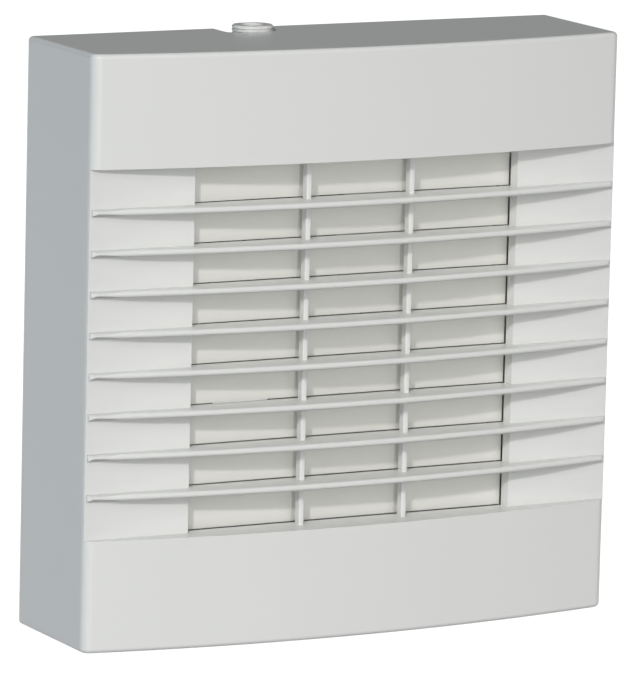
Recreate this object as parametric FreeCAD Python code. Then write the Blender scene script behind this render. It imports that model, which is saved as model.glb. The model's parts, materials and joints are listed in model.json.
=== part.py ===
import FreeCAD, Part
import math
import os

# Wall-mounted bathroom extractor fan for a 100 mm duct, in millimetres.
# +Z is up, +X is right as seen from the room, +Y goes into the wall.
# The origin is on the duct's axis, in the plane of the wall.

V = FreeCAD.Vector
os.makedirs("parts", exist_ok=True)

# Driving dimensions: cover
COVER_WIDTH = 164.0
COVER_HEIGHT = 165.0
SIDE_DEPTH = 41.3
FRONT_BOW = 7.7
WALL = 2.2
CORNER_RADIUS = 3.0
EDGE_RADIUS = 1.3
WALL_GAP = 0.4
COVER_SCREW_Y = -8.0
HOOK_X = 50.0

# Driving dimensions: grille
OPENING_HALF_HEIGHT = 51.1
OPENING_HALF_WIDTH = 50.4
OPENING_DRAFT = 0.5
RECESS_OUTER_Y = -40.1
RECESS_INNER_Y = -40.9
GRILLE_REAR_Y = -37.8
FIN_COUNT = 8
FIN_PITCH = 11.22
FIN_NOSE = 1.8
FIN_ROOT = 1.6
RIB_X = 16.1
RIB_WIDTH = 1.6
RIB_FRONT_Y = -42.5
RIB_REAR_Y = -40.1

# Driving dimensions: back plate and duct
PLATE_THICKNESS = 2.5
PLATE_CLEARANCE = 0.4
RIM_DEPTH = 10.0
RIM_THICKNESS = 2.0
SPIGOT_RADIUS = 49.2
SPIGOT_WALL = 2.2
SPIGOT_LENGTH = 56.0
SPIGOT_FLANGE_RADIUS = 52.0
SPIGOT_FLANGE_THICKNESS = 1.0
SPIGOT_COLLAR_RADIUS = 50.4
SNAP_LUG_REACH = 0.5
SNAP_LUG_DEPTH = 0.85
WALL_HOLE_PLACE = 68.0
WALL_HOLE_RADIUS = 2.4
ARM_DEPTH = 4.5
MOTOR_RING_RADIUS = 24.0

# Driving dimensions: the small screws and what they go into
SCREW_RADIUS = 1.25
SCREW_HEAD_RADIUS = 2.6
SCREW_HEAD_HEIGHT = 1.6
PILOT_RADIUS = 1.3
CLEAR_HOLE_RADIUS = 1.7

# Driving dimensions: cable entry in the top wall
ENTRY_X = -17.2
ENTRY_HALF_WIDTH = 8.2
ENTRY_DEPTH = 11.0
ENTRY_BORE_RADIUS = 3.3
ENTRY_BORE_Y = -6.1
BUSH_X = -16.0
BUSH_RADIUS = 4.4
BUSH_HALF_STRAIGHT = 1.2
BUSH_TOP_Z = 84.0
CLAMP_GAP_Y = -9.3

# Driving dimensions: shutter
BLADE_COUNT = FIN_COUNT + 1
BLADE_GAP = 0.5
SEAM_ABOVE_FIN = 0.3
BLADE_HALF_WIDTH = 50.1
BLADE_THICKNESS = 1.2
BLADE_FRONT_Y = -36.6
BARREL_RADIUS = 1.6
PIN_RADIUS = 1.5
RUNNING_CLEARANCE = 0.05
SWING_DEG = 65.0
CRANK_LENGTH = 8.0
CRANK_PIN_RADIUS = 1.2
FRAME_INNER_X = 51.7
FRAME_CHEEK = 2.6
FRAME_FRONT_Y = -37.4
FRAME_REAR_Y = -29.0
FRAME_HALF_HEIGHT = 57.0
FRAME_INNER_Z = 53.6
PILLAR_X = 64.0
PILLAR_Z = 59.0
PILLAR_FRONT_Y = -33.4

# Driving dimensions: actuator
ACTUATOR_X = 70.0
ACTUATOR_Y = -25.0
ACTUATOR_RADIUS = 7.5
CLIP_THICKNESS = 1.4
CLIP_HEIGHT = 4.0
CLIP_FLOORS = (-43.0, -30.0)
BRIDGE_THICKNESS = 2.4
ACTUATOR_BOTTOM_Z = -47.0
ACTUATOR_TOP_Z = -21.5
PLUNGER_RADIUS = 2.0
GUIDE_CLEARANCE = 0.06
SPRING_WIRE = 0.45
SPRING_RADIUS = 3.9
SPRING_TURNS = 7

# Driving dimensions: motor and impeller
STACK_Y0 = 12.0
STACK_Y1 = 26.0
STACK_HALF_WIDTH = 22.0
STACK_BOTTOM_Z = -17.0
STACK_TOP_Z = 34.0
LIMB_Z0 = 26.0
WINDOW_Z0 = 16.0
WINDOW_HALF_WIDTH = 13.0
STATOR_BORE_RADIUS = 11.5
ROTOR_RADIUS = 11.2
CAGE_BARS = 13
CAGE_BAR_PLACE = 9.6
CAGE_BAR_RADIUS = 0.9
SHAFT_RADIUS = 1.6
MOTOR_SCREW_X = 17.3
BEARING_RADIUS = 4.0
BEARING_LENGTH = 4.4
WASHER_RADIUS = 3.2
IMPELLER_Y0 = 34.0
IMPELLER_Y1 = 48.0
HUB_RADIUS = 19.5
IMPELLER_RADIUS = 45.4
IMPELLER_BLADES = 7
HUB_RIBS = 6

# Worked out from the driving dimensions
HALF_WIDTH = COVER_WIDTH / 2
HALF_HEIGHT = COVER_HEIGHT / 2
BOW_RADIUS = (HALF_WIDTH ** 2 + FRONT_BOW ** 2) / (2 * FRONT_BOW)
BOW_CENTRE_Y = BOW_RADIUS - SIDE_DEPTH - FRONT_BOW
PLATE_HALF_X = HALF_WIDTH - WALL - PLATE_CLEARANCE
PLATE_HALF_Z = HALF_HEIGHT - WALL - PLATE_CLEARANCE
SPIGOT_INNER = SPIGOT_RADIUS - SPIGOT_WALL
PIVOT_Y = BLADE_FRONT_Y + BARREL_RADIUS
BLADE_TOP_Z = BLADE_COUNT * FIN_PITCH / 2 + SEAM_ABOVE_FIN
CHEEK_OUTER_X = FRAME_INNER_X + FRAME_CHEEK
CRANK_X0 = CHEEK_OUTER_X + 0.4
CRANK_X1 = CRANK_X0 + 2.0
LINK_X0 = CRANK_X1 + 0.4
LINK_X1 = LINK_X0 + 2.4
CRANK_REST = math.radians(SWING_DEG / 2)
CRANK_DY = CRANK_LENGTH * math.cos(CRANK_REST)
CRANK_DZ = -CRANK_LENGTH * math.sin(CRANK_REST)
LINK_FOOT_Z = 16.0
SPRING_TOP_Z = 10.0
SPRING_BOTTOM_Z = -10.5
BRACKET_SCREWS = [(72.0, 27.0), (73.0, -56.5)]
BRACKET_BASE_Y0, BRACKET_BASE_Y1 = -9.5, -7.0
MOTOR_SCREWS = [(-MOTOR_SCREW_X, 0.0), (MOTOR_SCREW_X, 0.0)]
SHADING_SIDES = (-1, 1)
TERMINAL_Y0, TERMINAL_Y1 = -17.0, -5.0
TERMINAL_Z0, TERMINAL_Z1 = 57.5, 68.5
TERMINAL_MIDDLE_Z = (TERMINAL_Z0 + TERMINAL_Z1) / 2
CLAMP_Z = 71.5
TERMINAL_SCREWS = [(ENTRY_X + side * 15.5, TERMINAL_MIDDLE_Z) for side in (-1, 1)]
CLAMP_SCREWS = [(ENTRY_X + side * 9.0, CLAMP_Z) for side in (-1, 1)]
WAYS_X = [ENTRY_X - 7.0, ENTRY_X, ENTRY_X + 7.0]
WAY_Y = -11.0
WIRE_RADIUS = 0.8


def block(x0, x1, y0, y1, z0, z1):
    """A box between two corners."""
    return Part.makeBox(x1 - x0, y1 - y0, z1 - z0, V(x0, y0, z0))


def rod_y(radius, x, z, y0, y1):
    """A cylinder along Y."""
    return Part.makeCylinder(radius, y1 - y0, V(x, y0, z), V(0, 1, 0))


def rod_x(radius, y, z, x0, x1):
    """A cylinder along X."""
    return Part.makeCylinder(radius, x1 - x0, V(x0, y, z), V(1, 0, 0))


def rod_z(radius, x, y, z0, z1):
    """A cylinder along Z."""
    return Part.makeCylinder(radius, z1 - z0, V(x, y, z0), V(0, 0, 1))


def fuse(shapes):
    """One solid from several that touch or overlap."""
    whole = shapes[0].fuse(shapes[1:]) if len(shapes) > 1 else shapes[0]
    return whole.removeSplitter()


def prism_z(points, z0, z1):
    """A straight prism along Z over a closed polygon in plan."""
    corners = [V(x, y, z0) for x, y in points]
    return Part.Face(Part.makePolygon(corners + corners[:1])).extrude(V(0, 0, z1 - z0))


def round_edges(shape, radius, wanted):
    """Round every edge for which wanted(edge) is true."""
    return shape.makeFillet(radius, [edge for edge in shape.Edges if wanted(edge)])


def runs_along(edge, axis):
    """True for a straight edge parallel to one axis, 0, 1 or 2."""
    if not isinstance(edge.Curve, Part.Line):
        return False
    return abs(abs(edge.Curve.Direction[axis]) - 1) < 1e-6


def save(name, shape):
    """Write one node, after a check that its solids are sound."""
    if not shape.isValid() or not shape.Solids:
        raise ValueError(name + " is not a sound solid")
    shape.exportStep("parts/" + name + ".step")
    print(name, len(shape.Solids), round(shape.Volume, 1))


def screw(tip, head, shank_radius, head_radius, head_height, slot=0.8):
    """A pan-head screw with a cross recess, from its tip to the underside of its head."""
    tip, head = V(*tip), V(*head)
    along = (head - tip).normalize()
    shank = Part.makeCylinder(shank_radius, (head - tip).Length, tip, along)
    cap = Part.makeCylinder(head_radius, head_height, head, along)
    crown = head + along * head_height
    cap = round_edges(cap, head_height * 0.45, lambda e: abs((e.CenterOfMass - crown).dot(along)) < 1e-6)
    across = along.cross(V(0.3, 0.9, 0.2)).normalize()
    whole = fuse([shank, cap])
    for side in (across, along.cross(across)):
        bar = Part.makeBox(head_radius * 1.2, slot, head_height)
        bar.translate(V(-head_radius * 0.6, -slot / 2, head_height * 0.45))
        frame = FreeCAD.Matrix(side.x, along.cross(side).x, along.x, head.x,
                               side.y, along.cross(side).y, along.y, head.y,
                               side.z, along.cross(side).z, along.z, head.z,
                               0, 0, 0, 1)
        whole = whole.cut(bar.transformGeometry(frame))
    return whole


def small_screws(places, tip_y, head_y):
    """One small pan-head screw along Y at each place."""
    return [screw((x, tip_y, z), (x, head_y, z), SCREW_RADIUS, SCREW_HEAD_RADIUS, SCREW_HEAD_HEIGHT)
            for x, z in places]


def lead(points, radius):
    """A wire along straight runs joined by tangent arcs as large as the runs allow."""
    points = [V(*p) for p in points]
    edges = []
    at = points[0]
    for before, corner, after in zip(points, points[1:], points[2:]):
        back, ahead = (before - corner), (after - corner)
        trim = 0.45 * min(back.Length, ahead.Length)
        start = corner + back.normalize() * trim
        end = corner + ahead.normalize() * trim
        half_turn = (math.pi - back.getAngle(ahead)) / 2
        middle_gap = trim * (1 / math.cos(half_turn) - 1) / math.tan(half_turn)
        middle = corner + (back + ahead).normalize() * middle_gap
        edges.append(Part.makeLine(at, start))
        edges.append(Part.Arc(start, middle, end).toShape())
        at = end
    edges.append(Part.makeLine(at, points[-1]))
    path = Part.Wire(edges)
    circle = Part.Wire(Part.makeCircle(radius, points[0], points[1] - points[0]))
    return path.makePipeShell([circle], True, True)


# Cover

def cover_block(inset):
    """The cover's outer form, or that form shrunk by a wall."""
    half_x, half_z = HALF_WIDTH - inset, HALF_HEIGHT - inset
    radius = BOW_RADIUS - inset
    side_y = BOW_CENTRE_Y - math.sqrt(radius ** 2 - half_x ** 2)
    left, right = V(-half_x, side_y, -half_z), V(half_x, side_y, -half_z)
    front = V(0, BOW_CENTRE_Y - radius, -half_z)
    rear_left, rear_right = V(-half_x, -WALL_GAP, -half_z), V(half_x, -WALL_GAP, -half_z)
    outline = Part.Wire([Part.Arc(left, front, right).toShape(), Part.makeLine(right, rear_right),
                         Part.makeLine(rear_right, rear_left), Part.makeLine(rear_left, left)])
    form = Part.Face(outline).extrude(V(0, 0, 2 * half_z))
    corner = max(CORNER_RADIUS - inset, 0.8)
    return round_edges(form, corner, lambda e: runs_along(e, 2) and e.CenterOfMass.y < -1)


def cover_shell():
    """The outer form with its front and side edges eased, made hollow from behind."""
    form = cover_block(0.0)
    form = round_edges(form, EDGE_RADIUS, lambda e: abs(abs(e.CenterOfMass.z) - HALF_HEIGHT) < 1e-6
                       and e.CenterOfMass.y < -WALL_GAP - 1)
    return form.cut(cover_block(WALL))


def side_recess(side):
    """One of the two sunk panels beside the grille's opening, with the opening's edge."""
    outer, inner = HALF_WIDTH - 0.2, OPENING_HALF_WIDTH
    points = [(inner, RECESS_INNER_Y), (outer, RECESS_OUTER_Y), (outer, RECESS_OUTER_Y + WALL),
              (inner + WALL, RECESS_INNER_Y + WALL), (inner + WALL, GRILLE_REAR_Y),
              (inner - OPENING_DRAFT, GRILLE_REAR_Y)]
    return prism_z([(side * x, y) for x, y in points], -OPENING_HALF_HEIGHT - 0.5, OPENING_HALF_HEIGHT + 0.5)


def opening_ledge(side):
    """The wall that closes the top or bottom panel towards the opening."""
    z_in, z_out = side * OPENING_HALF_HEIGHT, side * (OPENING_HALF_HEIGHT + WALL)
    slab = block(-HALF_WIDTH + 1, HALF_WIDTH - 1, -60, GRILLE_REAR_Y, min(z_in, z_out), max(z_in, z_out))
    return slab.common(cover_block(0.0))


def fin(z_low):
    """One louvre: its rounded nose follows the bowed front."""
    nose_y = BOW_CENTRE_Y - BOW_RADIUS
    nose = FIN_NOSE / 2
    rear_y = GRILLE_REAR_Y + 4
    low_front, high_front = V(0, nose_y + nose, z_low), V(0, nose_y + nose, z_low + FIN_NOSE)
    low_rear, high_rear = V(0, rear_y, z_low), V(0, rear_y, z_low + FIN_ROOT)
    outline = Part.Wire([Part.Arc(low_front, V(0, nose_y, z_low + nose), high_front).toShape(),
                         Part.makeLine(high_front, high_rear), Part.makeLine(high_rear, low_rear),
                         Part.makeLine(low_rear, low_front)])
    half_sweep = math.degrees(math.asin((HALF_WIDTH - 0.6) / BOW_RADIUS))
    face = Part.Face(outline)
    face.rotate(V(0, BOW_CENTRE_Y, 0), V(0, 0, 1), -half_sweep)
    sweep = face.revolve(V(0, BOW_CENTRE_Y, 0), V(0, 0, 1), 2 * half_sweep)
    trimmed = sweep.common(cover_block(0.0))
    return trimmed.common(block(-HALF_WIDTH, HALF_WIDTH, -60, GRILLE_REAR_Y, -90, 90))


def fin_floors():
    """The lower face of each fin, from the top fin down."""
    top = (FIN_COUNT - 1) * FIN_PITCH / 2 - FIN_NOSE / 2
    return [top - FIN_PITCH * k for k in range(FIN_COUNT)]


def upright_rib(side):
    """One of the two upright ribs behind the fins' noses."""
    x = side * RIB_X
    bar = block(x - RIB_WIDTH / 2, x + RIB_WIDTH / 2, RIB_FRONT_Y, RIB_REAR_Y,
                -OPENING_HALF_HEIGHT - 0.5, OPENING_HALF_HEIGHT + 0.5)
    return round_edges(bar, 0.4, lambda e: runs_along(e, 2) and e.CenterOfMass.y < RIB_FRONT_Y + 0.1)


def entry_outline(half_width, depth, corner, z0, z1):
    """A U-shaped prism, open towards the wall, for the cable entry and its bush."""
    form = block(ENTRY_X - half_width, ENTRY_X + half_width, -depth, 1, z0, z1)
    return round_edges(form, corner, lambda e: runs_along(e, 2) and e.CenterOfMass.y < -1)


def front_cover():
    shell = cover_shell()
    window = block(-HALF_WIDTH - 1, HALF_WIDTH + 1, -60, RECESS_OUTER_Y,
                   -OPENING_HALF_HEIGHT, OPENING_HALF_HEIGHT)
    hole = block(-OPENING_HALF_WIDTH, OPENING_HALF_WIDTH, -60, -30, -OPENING_HALF_HEIGHT, OPENING_HALF_HEIGHT)
    shell = shell.cut([window, hole])
    boss = rod_z(5.0, 0, COVER_SCREW_Y, -HALF_HEIGHT + 0.5, -HALF_HEIGHT + 3.8)
    hooks = [block(x - 3.5, x + 3.5, -5.8, -3.4, HALF_HEIGHT - WALL - 2.7, HALF_HEIGHT - WALL + 0.5)
             for x in (-HOOK_X, HOOK_X)]
    pieces = [shell, boss] + hooks
    pieces += [side_recess(-1), side_recess(1), opening_ledge(-1), opening_ledge(1)]
    pieces += [upright_rib(-1), upright_rib(1)]
    pieces += [fin(z) for z in fin_floors()]
    cover = fuse(pieces)
    notch = entry_outline(ENTRY_HALF_WIDTH, ENTRY_DEPTH, 4.0, HALF_HEIGHT - 4, HALF_HEIGHT + 2)
    hole = rod_z(1.9, 0, COVER_SCREW_Y, -HALF_HEIGHT - 1, -HALF_HEIGHT + 6)
    sink = Part.makeCone(3.5, 1.9, 2.2, V(0, COVER_SCREW_Y, -HALF_HEIGHT), V(0, 0, 1))
    return cover.cut([notch, hole, sink])


def cover_screw():
    """A countersunk screw driven up through the cover's bottom wall."""
    shank = rod_z(1.5, 0, COVER_SCREW_Y, -HALF_HEIGHT + 1.5, -HALF_HEIGHT + 14)
    head = Part.makeCone(3.3, 1.5, 1.9, V(0, COVER_SCREW_Y, -HALF_HEIGHT + 0.1), V(0, 0, 1))
    slot = block(-3, 3, COVER_SCREW_Y - 0.4, COVER_SCREW_Y + 0.4, -HALF_HEIGHT - 1, -HALF_HEIGHT + 1.0)
    return fuse([shank, head]).cut(slot)


# Back plate, duct spigot and what seals them

def rim_wall():
    """The upstand round the plate, which the cover slides over, with room for the cover's screw boss."""
    outer = block(-PLATE_HALF_X, PLATE_HALF_X, -RIM_DEPTH, 0, -PLATE_HALF_Z, PLATE_HALF_Z)
    inner = block(-PLATE_HALF_X + RIM_THICKNESS, PLATE_HALF_X - RIM_THICKNESS, -RIM_DEPTH - 1, 1,
                  -PLATE_HALF_Z + RIM_THICKNESS, PLATE_HALF_Z - RIM_THICKNESS)
    boss_room = block(-6.4, 6.4, -RIM_DEPTH - 1, -PLATE_THICKNESS, -PLATE_HALF_Z - 1, -PLATE_HALF_Z + 3)
    return outer.cut([inner, boss_room])


def gasket_ring(growth, y0, y1):
    """The ring that the wall gasket fills; a growth widens it into its groove."""
    outer_x, outer_z = PLATE_HALF_X - 1.5 + growth, PLATE_HALF_Z - 1.5 + growth
    inner_x, inner_z = PLATE_HALF_X - 5.5 - growth, PLATE_HALF_Z - 5.5 - growth
    ring = block(-outer_x, outer_x, y0, y1, -outer_z, outer_z)
    ring = ring.cut(block(-inner_x, inner_x, y0 - 1, y1 + 1, -inner_z, inner_z))
    return ring.cut(entry_outline(ENTRY_HALF_WIDTH, ENTRY_DEPTH, 3.0, 72.0 - growth, 90.0))


def corners(x, z):
    """The four corners of a centred rectangle."""
    return [(side * x, end * z) for side in (-1, 1) for end in (-1, 1)]


def motor_arm(angle):
    """One of the arms from the duct's wall to the motor's ring."""
    arm = block(20.0, SPIGOT_INNER + 0.6, 0.0, ARM_DEPTH, -2.2, 2.2)
    arm.rotate(V(0, 0, 0), V(0, 1, 0), angle)
    return arm


def back_plate():
    """The wall plate with its rim, pillars and bosses, bored for the spigot."""
    root_y = -PLATE_THICKNESS + 0.5
    pieces = [block(-PLATE_HALF_X, PLATE_HALF_X, -PLATE_THICKNESS, 0, -PLATE_HALF_Z, PLATE_HALF_Z)]
    pieces.append(rim_wall())
    pieces += [rod_y(4.0, x, z, PILLAR_FRONT_Y, root_y) for x, z in corners(PILLAR_X, PILLAR_Z)]
    pieces += [rod_y(3.0, x, z, TERMINAL_Y1, root_y) for x, z in TERMINAL_SCREWS]
    pieces += [rod_y(2.8, x, z, CLAMP_GAP_Y, root_y) for x, z in CLAMP_SCREWS]
    pieces += [rod_y(3.2, x, z, BRACKET_BASE_Y1, root_y) for x, z in BRACKET_SCREWS]
    pieces += [block(-6, 6, -13, root_y, -PLATE_HALF_Z + 1.6, -PLATE_HALF_Z + 13)]
    holes = [rod_y(WALL_HOLE_RADIUS, x, z, -30, 10) for x, z in corners(WALL_HOLE_PLACE, WALL_HOLE_PLACE)]
    holes += [rod_y(PILOT_RADIUS, x, z, PILLAR_FRONT_Y - 1, PILLAR_FRONT_Y + 12)
              for x, z in corners(PILLAR_X, PILLAR_Z)]
    holes += [rod_y(PILOT_RADIUS, x, z, -10, -0.8)
              for x, z in TERMINAL_SCREWS + CLAMP_SCREWS + BRACKET_SCREWS]
    holes += [rod_z(1.55, 0, COVER_SCREW_Y, -HALF_HEIGHT, -HALF_HEIGHT + 15)]
    holes += [block(x - 4.2, x + 4.2, -6.4, -2.9, PLATE_HALF_Z - RIM_THICKNESS - 1, PLATE_HALF_Z + 1)
              for x in (-HOOK_X, HOOK_X)]
    holes += [gasket_ring(0.1, -1.2, 1)]
    holes += [entry_outline(ENTRY_HALF_WIDTH - 1.0, ENTRY_DEPTH, 3.0, 74.4, 90.0)]
    holes += [rod_y(SPIGOT_COLLAR_RADIUS + RUNNING_CLEARANCE, 0, 0, -10, 10)]
    holes += [rod_y(SPIGOT_COLLAR_RADIUS + SNAP_LUG_REACH + 0.15, 0, 0, -SNAP_LUG_DEPTH - 0.05, 1)]
    holes += [rod_y(SPIGOT_FLANGE_RADIUS + 0.1, 0, 0, -10, -PLATE_THICKNESS + SPIGOT_FLANGE_THICKNESS)]
    return fuse(pieces).cut(holes)


def duct_spigot():
    """The duct's tube and the motor's arms; a flange, a collar and snap lugs hold it in the plate."""
    front_y = -PLATE_THICKNESS
    tube = rod_y(SPIGOT_RADIUS, 0, 0, front_y, SPIGOT_LENGTH)
    tube = round_edges(tube, 1.0, lambda e: e.CenterOfMass.y > SPIGOT_LENGTH - 0.1)
    flange = rod_y(SPIGOT_FLANGE_RADIUS, 0, 0, front_y, front_y + SPIGOT_FLANGE_THICKNESS)
    collar = rod_y(SPIGOT_COLLAR_RADIUS, 0, 0, front_y, -0.05)
    body = tube.fuse([flange, collar]).cut(rod_y(SPIGOT_INNER, 0, 0, -5, SPIGOT_LENGTH + 5))
    lug_ring = rod_y(SPIGOT_COLLAR_RADIUS + SNAP_LUG_REACH, 0, 0, -SNAP_LUG_DEPTH, -0.05)
    lug_ring = lug_ring.cut(rod_y(SPIGOT_RADIUS - 0.5, 0, 0, -5, 5))
    pieces = [body, rod_y(MOTOR_RING_RADIUS, 0, 0, 1.0, ARM_DEPTH)]
    for angle in (90, -30, -150):
        pieces.append(motor_arm(angle))
        lug = lug_ring.common(block(0, 60, -5, 5, -6, 6))
        lug.rotate(V(0, 0, 0), V(0, 1, 0), angle + 60)
        pieces.append(lug)
    pieces += [rod_y(2.7, x, z, ARM_DEPTH, STACK_Y0 - 1.8) for x, z in MOTOR_SCREWS]
    holes = [rod_y(1.65, x, z, -5, STACK_Y0) for x, z in MOTOR_SCREWS]
    holes += [rod_y(6.3, 0, 0, -5, 10)]
    return fuse(pieces).cut(holes)


def wall_gasket():
    return gasket_ring(0.0, -1.2, 0.0)


def bush_collar(radius, z0, z1):
    """A rounded collar, a little wider than it is deep, round the cable's bore."""
    ends = [rod_z(radius, BUSH_X + side * BUSH_HALF_STRAIGHT, ENTRY_BORE_Y, z0, z1) for side in (-1, 1)]
    middle = block(BUSH_X - BUSH_HALF_STRAIGHT, BUSH_X + BUSH_HALF_STRAIGHT,
                   ENTRY_BORE_Y - radius, ENTRY_BORE_Y + radius, z0, z1)
    return fuse(ends + [middle])


def cable_entry_grommet():
    """A ribbed bush: a neck through the plate's rim, a flange inside and a ringed collar outside."""
    neck = entry_outline(ENTRY_HALF_WIDTH - 1.2, ENTRY_DEPTH - 0.3, 3.0, 76.2, 80.6)
    flange = entry_outline(ENTRY_HALF_WIDTH, ENTRY_DEPTH - 0.3, 3.0, 74.5, 77.2)
    flange = flange.cut(block(-40, 0, -PLATE_THICKNESS - 0.2, 2, 70, 77.3))
    rings = [bush_collar(BUSH_RADIUS + 0.3, z, z + 0.5) for z in (81.3, 82.3, 83.2)]
    bush = fuse([neck, flange, bush_collar(BUSH_RADIUS, 80.0, BUSH_TOP_Z)] + rings)
    wall_side = block(-40, 0, -WALL_GAP, 3, 70, 90)
    return bush.cut([wall_side, rod_z(ENTRY_BORE_RADIUS, BUSH_X, ENTRY_BORE_Y, 70, 90)])


# Shutter

def pivot_z(index):
    """Height of a blade's pivot, from the top blade down; each seam shows just above a fin's root."""
    return BLADE_TOP_Z - BARREL_RADIUS - FIN_PITCH * index


def blade_bottom(index):
    """Lower edge of a blade; the lowest blade reaches down to the opening's ledge."""
    if index == BLADE_COUNT - 1:
        return -OPENING_HALF_HEIGHT
    return pivot_z(index + 1) + BARREL_RADIUS + BLADE_GAP


def shutter_frame():
    """The frame that holds the blades' pins, with an ear on each pillar."""
    outer = block(-CHEEK_OUTER_X, CHEEK_OUTER_X, FRAME_FRONT_Y, FRAME_REAR_Y,
                  -FRAME_HALF_HEIGHT, FRAME_HALF_HEIGHT)
    inner = block(-FRAME_INNER_X, FRAME_INNER_X, -50, 0, -FRAME_INNER_Z, FRAME_INNER_Z)
    pieces = [outer.cut(inner)]
    for x, z in corners(PILLAR_X, PILLAR_Z):
        reach = abs(x) + 4
        low, high = sorted((math.copysign(50, x), math.copysign(reach, x)))
        bottom, top = sorted((math.copysign(54.5, z), math.copysign(63.0, z)))
        pieces.append(block(low, high, FRAME_FRONT_Y, PILLAR_FRONT_Y, bottom, top))
    holes = [rod_y(CLEAR_HOLE_RADIUS, x, z, -50, 0) for x, z in corners(PILLAR_X, PILLAR_Z)]
    for index in range(BLADE_COUNT):
        z = pivot_z(index)
        holes.append(rod_x(PIN_RADIUS + RUNNING_CLEARANCE, PIVOT_Y, z, -60, 60))
        holes.append(block(-60, 60, PIVOT_Y, 0, z - 1.4, z + 1.4).cut(block(-40, 40, -50, 5, -60, 60)))
    return fuse(pieces).cut(holes)


def crank_pin_place(index):
    """Where a blade's crank pin stands at rest."""
    return PIVOT_Y + CRANK_DY, pivot_z(index) + CRANK_DZ


def shutter_blade(index):
    """A flat blade hung on a barrel along its top edge, with a pin at each end and a crank at one."""
    z, bottom = pivot_z(index), blade_bottom(index)
    rear_y = BLADE_FRONT_Y + BLADE_THICKNESS
    width = BLADE_HALF_WIDTH
    pieces = [rod_x(BARREL_RADIUS, PIVOT_Y, z, -width, width)]
    pieces.append(block(-width, width, BLADE_FRONT_Y, rear_y, bottom, z))
    pieces.append(block(-width, width, rear_y, rear_y + 1.4, bottom, bottom + 1.0))
    pieces += [block(x - 0.5, x + 0.5, rear_y, rear_y + 1.4, bottom, z) for x in (-RIB_X, RIB_X)]
    pieces.append(rod_x(PIN_RADIUS, PIVOT_Y, z, -CHEEK_OUTER_X + 0.2, CRANK_X0))
    pin_y, pin_z = crank_pin_place(index)
    arm = block(CRANK_X0, CRANK_X1, 0, CRANK_LENGTH, -2.0, 2.0)
    arm.rotate(V(0, 0, 0), V(1, 0, 0), -SWING_DEG / 2)
    arm.translate(V(0, PIVOT_Y, z))
    pieces += [arm, rod_x(2.6, PIVOT_Y, z, CRANK_X0, CRANK_X1), rod_x(2.2, pin_y, pin_z, CRANK_X0, CRANK_X1)]
    pieces.append(rod_x(CRANK_PIN_RADIUS, pin_y, pin_z, CRANK_X1, LINK_X1 + 0.4))
    pieces.append(rod_x(CRANK_PIN_RADIUS + 0.4, pin_y, pin_z, LINK_X1 + 0.3, LINK_X1 + 0.9))
    return fuse(pieces)


def shutter_link_bar():
    """The upright bar on the crank pins, with a foot over the actuator's plunger."""
    bar_y, low_z = crank_pin_place(BLADE_COUNT - 1)
    high_z = crank_pin_place(0)[1]
    bar = block(LINK_X0, LINK_X1, bar_y - 2.4, bar_y + 2.4, low_z, high_z)
    ends = [rod_x(2.4, bar_y, z, LINK_X0, LINK_X1) for z in (low_z, high_z)]
    foot = block(LINK_X0, ACTUATOR_X + 4.5, bar_y - 2.4, ACTUATOR_Y + 4.0, LINK_FOOT_Z, LINK_FOOT_Z + 2.4)
    foot = round_edges(foot, 2.0, lambda e: runs_along(e, 2) and e.CenterOfMass.x > ACTUATOR_X)
    holes = [rod_x(CRANK_PIN_RADIUS + RUNNING_CLEARANCE, *crank_pin_place(k), LINK_X0 - 1, LINK_X1 + 1)
             for k in range(BLADE_COUNT)]
    return fuse([bar, foot] + ends).cut(holes)


def shutter_frame_screws():
    return small_screws(corners(PILLAR_X, PILLAR_Z), FRAME_FRONT_Y + 12, FRAME_FRONT_Y)


# Wax actuator that opens the shutter

def actuator_body():
    """A round wax motor with a neck that guides its plunger."""
    body = rod_z(ACTUATOR_RADIUS, ACTUATOR_X, ACTUATOR_Y, ACTUATOR_BOTTOM_Z, ACTUATOR_TOP_Z)
    body = round_edges(body, 1.0, lambda e: isinstance(e.Curve, Part.Circle))
    neck = rod_z(5.0, ACTUATOR_X, ACTUATOR_Y, ACTUATOR_TOP_Z - 0.5, ACTUATOR_TOP_Z + 4.0)
    bore = rod_z(PLUNGER_RADIUS + GUIDE_CLEARANCE, ACTUATOR_X, ACTUATOR_Y, ACTUATOR_TOP_Z - 13, 0)
    return fuse([body, neck]).cut(bore)


def actuator_plunger():
    """The pin that the wax pushes up, with the collar that the spring presses on."""
    tip = LINK_FOOT_Z - 0.3
    pin = rod_z(PLUNGER_RADIUS, ACTUATOR_X, ACTUATOR_Y, ACTUATOR_TOP_Z - 12, tip)
    pin = round_edges(pin, 0.8, lambda e: abs(e.CenterOfMass.z - tip) < 1e-6)
    collar = rod_z(5.4, ACTUATOR_X, ACTUATOR_Y, SPRING_BOTTOM_Z - 1.5, SPRING_BOTTOM_Z)
    return fuse([pin, collar])


def return_spring():
    """An open coil of twelve-sided wire between the plunger's collar and the bracket's bridge."""
    end_gap = SPRING_WIRE + 0.05
    height = SPRING_TOP_Z - SPRING_BOTTOM_Z - 2 * end_gap
    helix = Part.makeHelix(height / SPRING_TURNS, height, SPRING_RADIUS)
    angles = [math.radians(30 * side) for side in range(12)]
    section = [V(SPRING_RADIUS + SPRING_WIRE * math.cos(a), 0, SPRING_WIRE * math.sin(a)) for a in angles]
    coil = Part.Wire(helix).makePipeShell([Part.makePolygon(section + section[:1])], True, True)
    coil.translate(V(ACTUATOR_X, ACTUATOR_Y, SPRING_BOTTOM_Z + end_gap))
    return coil


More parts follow.
